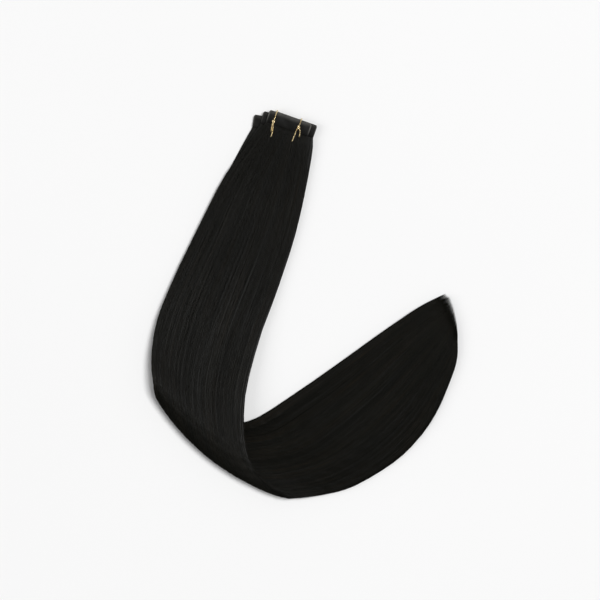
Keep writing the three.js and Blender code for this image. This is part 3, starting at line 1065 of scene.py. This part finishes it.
def tie_routes(tie, diameter):
    """The runs of cord of one tie, in the front tape's frame: the loop, the knot and the two tails."""
    clear = TIE_GAP + diameter / 2
    front = STACK_Z + STACK_HALF + clear
    behind = STACK_Z - STACK_HALF - clear
    top = -clear - TIE_SLACK
    hole = tie["below"]
    middle = (top + hole) / 2
    knot_z = front + KNOT_RISE
    along = tie["along"]
    loop = (
        (along, hole - TIE_BEND, knot_z),
        (along, middle, front),
        (along, top + TIE_BEND, front),
        (along, top, front - TIE_BEND),
        (along, top, behind + TIE_BEND),
        (along, top + TIE_BEND, behind),
        (along, middle, behind),
        (along, hole - TIE_BEND, behind),
        (along, hole, behind + TIE_BEND),
        (along, hole, STACK_Z),
        (along, hole, knot_z),
    )
    turn = math.radians(tie["turn"])
    knot = []
    for t in np.linspace(0.0, 2 * math.pi, KNOT_POINTS):
        x = KNOT_SCALE * (math.sin(t) + 2 * math.sin(2 * t))
        y = KNOT_SCALE * (math.cos(t) - 2 * math.cos(2 * t))
        across = x * math.cos(turn) - y * math.sin(turn)
        upward = x * math.sin(turn) + y * math.cos(turn)
        knot.append((along + across, hole - upward, knot_z - KNOT_RISE * math.sin(3 * t)))
    tails = [[(along, hole, knot_z)] + [(a, b, front) for a, b in tail] for tail in tie["tails"]]
    return loop, knot, tails


def plied_cord(route, settings, frays):
    """Points of a cord's twisted plies along a route, ply by ply and ring by ring, and places on it."""
    points = in_tape(LAYERS[0], *np.array(route).T)
    length = np.linalg.norm(np.diff(points, axis=0), axis=-1).sum()
    count = max(CORD_LEAST_RINGS, int(length / CORD_STEP))
    distance = np.linspace(0.0, length, count)
    line = spline_lines(points[:, None], count)[0]
    along = unit(np.gradient(line, axis=0))
    across = unit(np.cross(along, SIDEWAYS))
    upward = np.cross(across, along)
    plies = settings.plies
    off_middle = settings.diameter / 2 / (1 + math.sin(math.pi / plies)) * PLY_SPREAD
    open_out = 1.0 + frays * FRAY_OPENING * smooth(distance, length - FRAY_LENGTH, length)
    thinned = 1.0 - frays * FRAY_THINNING * smooth(distance, length - FRAY_TIP, length)
    radius = off_middle * math.sin(math.pi / plies) * thinned
    around = np.linspace(0.0, 2 * math.pi, PLY_SIDES, endpoint=False)
    ring = np.cos(around)[:, None] * across[:, None] + np.sin(around)[:, None] * upward[:, None]
    rings = []
    for ply in range(plies):
        turn = 2 * math.pi * (distance / settings.twist + ply / plies)
        out = np.cos(turn)[:, None] * across + np.sin(turn)[:, None] * upward
        centre = line + (off_middle * open_out)[:, None] * out
        rings.append(centre[:, None] + radius[:, None, None] * ring)
    place = np.stack(np.broadcast_arrays(around, distance[:, None], 0.0), axis=-1)
    return np.stack(rings), np.stack([place] * plies)


class BUNDLE_OT_ties(Operator):
    """Make the two gold cords that tie the tapes together"""

    bl_idname = "hair_bundle.ties"
    bl_label = "Make Ties"

    def execute(self, context):
        settings = context.scene.bundle_ties
        material = gold_material(settings)
        for tie in TIES:
            loop, knot, tails = tie_routes(tie, settings.diameter)
            runs = [plied_cord(route, settings, frays=False) for route in (loop, knot)]
            runs += [plied_cord(tail, settings, frays=True) for tail in tails]
            points, faces, places, count = [], [], [], 0
            for rings, place in runs:
                faces += tube_faces(count, *rings.shape[:3])
                points.append(rings.reshape(-1, 3))
                places.append(place.reshape(-1, 3))
                count += len(points[-1])
            piece = add_piece("cord_" + tie["name"], np.concatenate(points), faces, material)
            add_values(piece.data, "thread", "FLOAT_VECTOR", np.concatenate(places))
            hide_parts("tie_" + tie["name"])
        return {"FINISHED"}


# Stage

FLOOR_HALF = 8.0

# Soft lights, both aimed at the middle of the bundle
KEY_PLACE = (2.8, 1.3, 9.2)
KEY_SIZE = (3.4, 3.4)
FILL_PLACE = (-7.3, -0.4, 6.4)
FILL_SIZE = (5.0, 6.5)
FILL_SHARE = 0.30


def add_area_light(name, place, size, power):
    """A soft rectangular light, which the camera doesn't see."""
    light = bpy.data.lights.new(name, "AREA")
    light.shape = "RECTANGLE"
    light.size, light.size_y = size
    light.energy = power
    lamp = bpy.data.objects.new(name, light)
    lamp.location = place
    lamp.rotation_euler = (-Vector(place)).to_track_quat("-Z", "Y").to_euler()
    lamp.visible_camera = False
    bpy.context.scene.collection.objects.link(lamp)


class BUNDLE_OT_stage(Operator):
    """Lay the pale floor, set the soft light and put the camera over the bundle"""

    bl_idname = "hair_bundle.stage"
    bl_label = "Set Stage"

    def execute(self, context):
        settings = context.scene.bundle_stage
        scene = context.scene
        corners = [(x * FLOOR_HALF, y * FLOOR_HALF, 0.0) for x, y in ((-1, -1), (1, -1), (1, 1), (-1, 1))]
        mesh = bpy.data.meshes.new("floor")
        mesh.from_pydata(corners, [], [(0, 1, 2, 3)])
        mesh.materials.append(floor_material(settings))
        floor = bpy.data.objects.new("floor", mesh)
        scene.collection.objects.link(floor)

        world = bpy.data.worlds.new("soft surround")
        world.use_nodes = True
        sky = world.node_tree.nodes["Background"]
        sky.inputs["Color"].default_value = (1.0, 1.0, 1.0, 1.0)
        sky.inputs["Strength"].default_value = settings.surround
        scene.world = world
        add_area_light("key", KEY_PLACE, KEY_SIZE, settings.key_power)
        add_area_light("fill", FILL_PLACE, FILL_SIZE, FILL_SHARE * settings.key_power)

        camera_data = bpy.data.cameras.new("camera")
        camera_data.sensor_width = SENSOR_WIDTH
        camera_data.lens = SENSOR_WIDTH * settings.camera_height / FRAME_WIDTH
        camera = bpy.data.objects.new("camera", camera_data)
        camera.location = (*FRAME_CENTRE, settings.camera_height)
        scene.collection.objects.link(camera)
        scene.camera = camera
        scene.view_settings.view_transform = "Standard"
        return {"FINISHED"}


# Sidebar

# Settings of the scene, each with the operator that uses them
GROUPS = (
    ("bundle_stage", StageSettings, BUNDLE_OT_stage),
    ("bundle_hair", HairSettings, BUNDLE_OT_hair),
    ("bundle_tapes", TapeSettings, BUNDLE_OT_tapes),
    ("bundle_ties", TieSettings, BUNDLE_OT_ties),
)


class BUNDLE_PT_sidebar(Panel):
    """The bundle's settings, and a button for each group of pieces"""

    bl_idname = "BUNDLE_PT_sidebar"
    bl_label = "Hair Bundle"
    bl_space_type = "VIEW_3D"
    bl_region_type = "UI"
    bl_category = "Hair Bundle"

    def draw(self, context):
        for name, settings, operator in GROUPS:
            box = self.layout.box()
            for value in settings.__annotations__:
                box.prop(getattr(context.scene, name), value)
            box.operator(operator.bl_idname)


def register():
    """Make the settings, the operators and the panel known, and give the scene its settings."""
    for name, settings, operator in GROUPS:
        bpy.utils.register_class(settings)
        bpy.utils.register_class(operator)
        setattr(bpy.types.Scene, name, PointerProperty(type=settings))
    bpy.utils.register_class(BUNDLE_PT_sidebar)


def unregister():
    """Take away all that register made."""
    bpy.utils.unregister_class(BUNDLE_PT_sidebar)
    for name, settings, operator in reversed(GROUPS):
        delattr(bpy.types.Scene, name)
        bpy.utils.unregister_class(operator)
        bpy.utils.unregister_class(settings)


def main():
    """Make the whole bundle."""
    register()
    bpy.ops.hair_bundle.stage()
    bpy.ops.hair_bundle.hair()
    bpy.ops.hair_bundle.tapes()
    bpy.ops.hair_bundle.ties()
    bpy.context.view_layer.update()


if __name__ == "__main__":
    main()
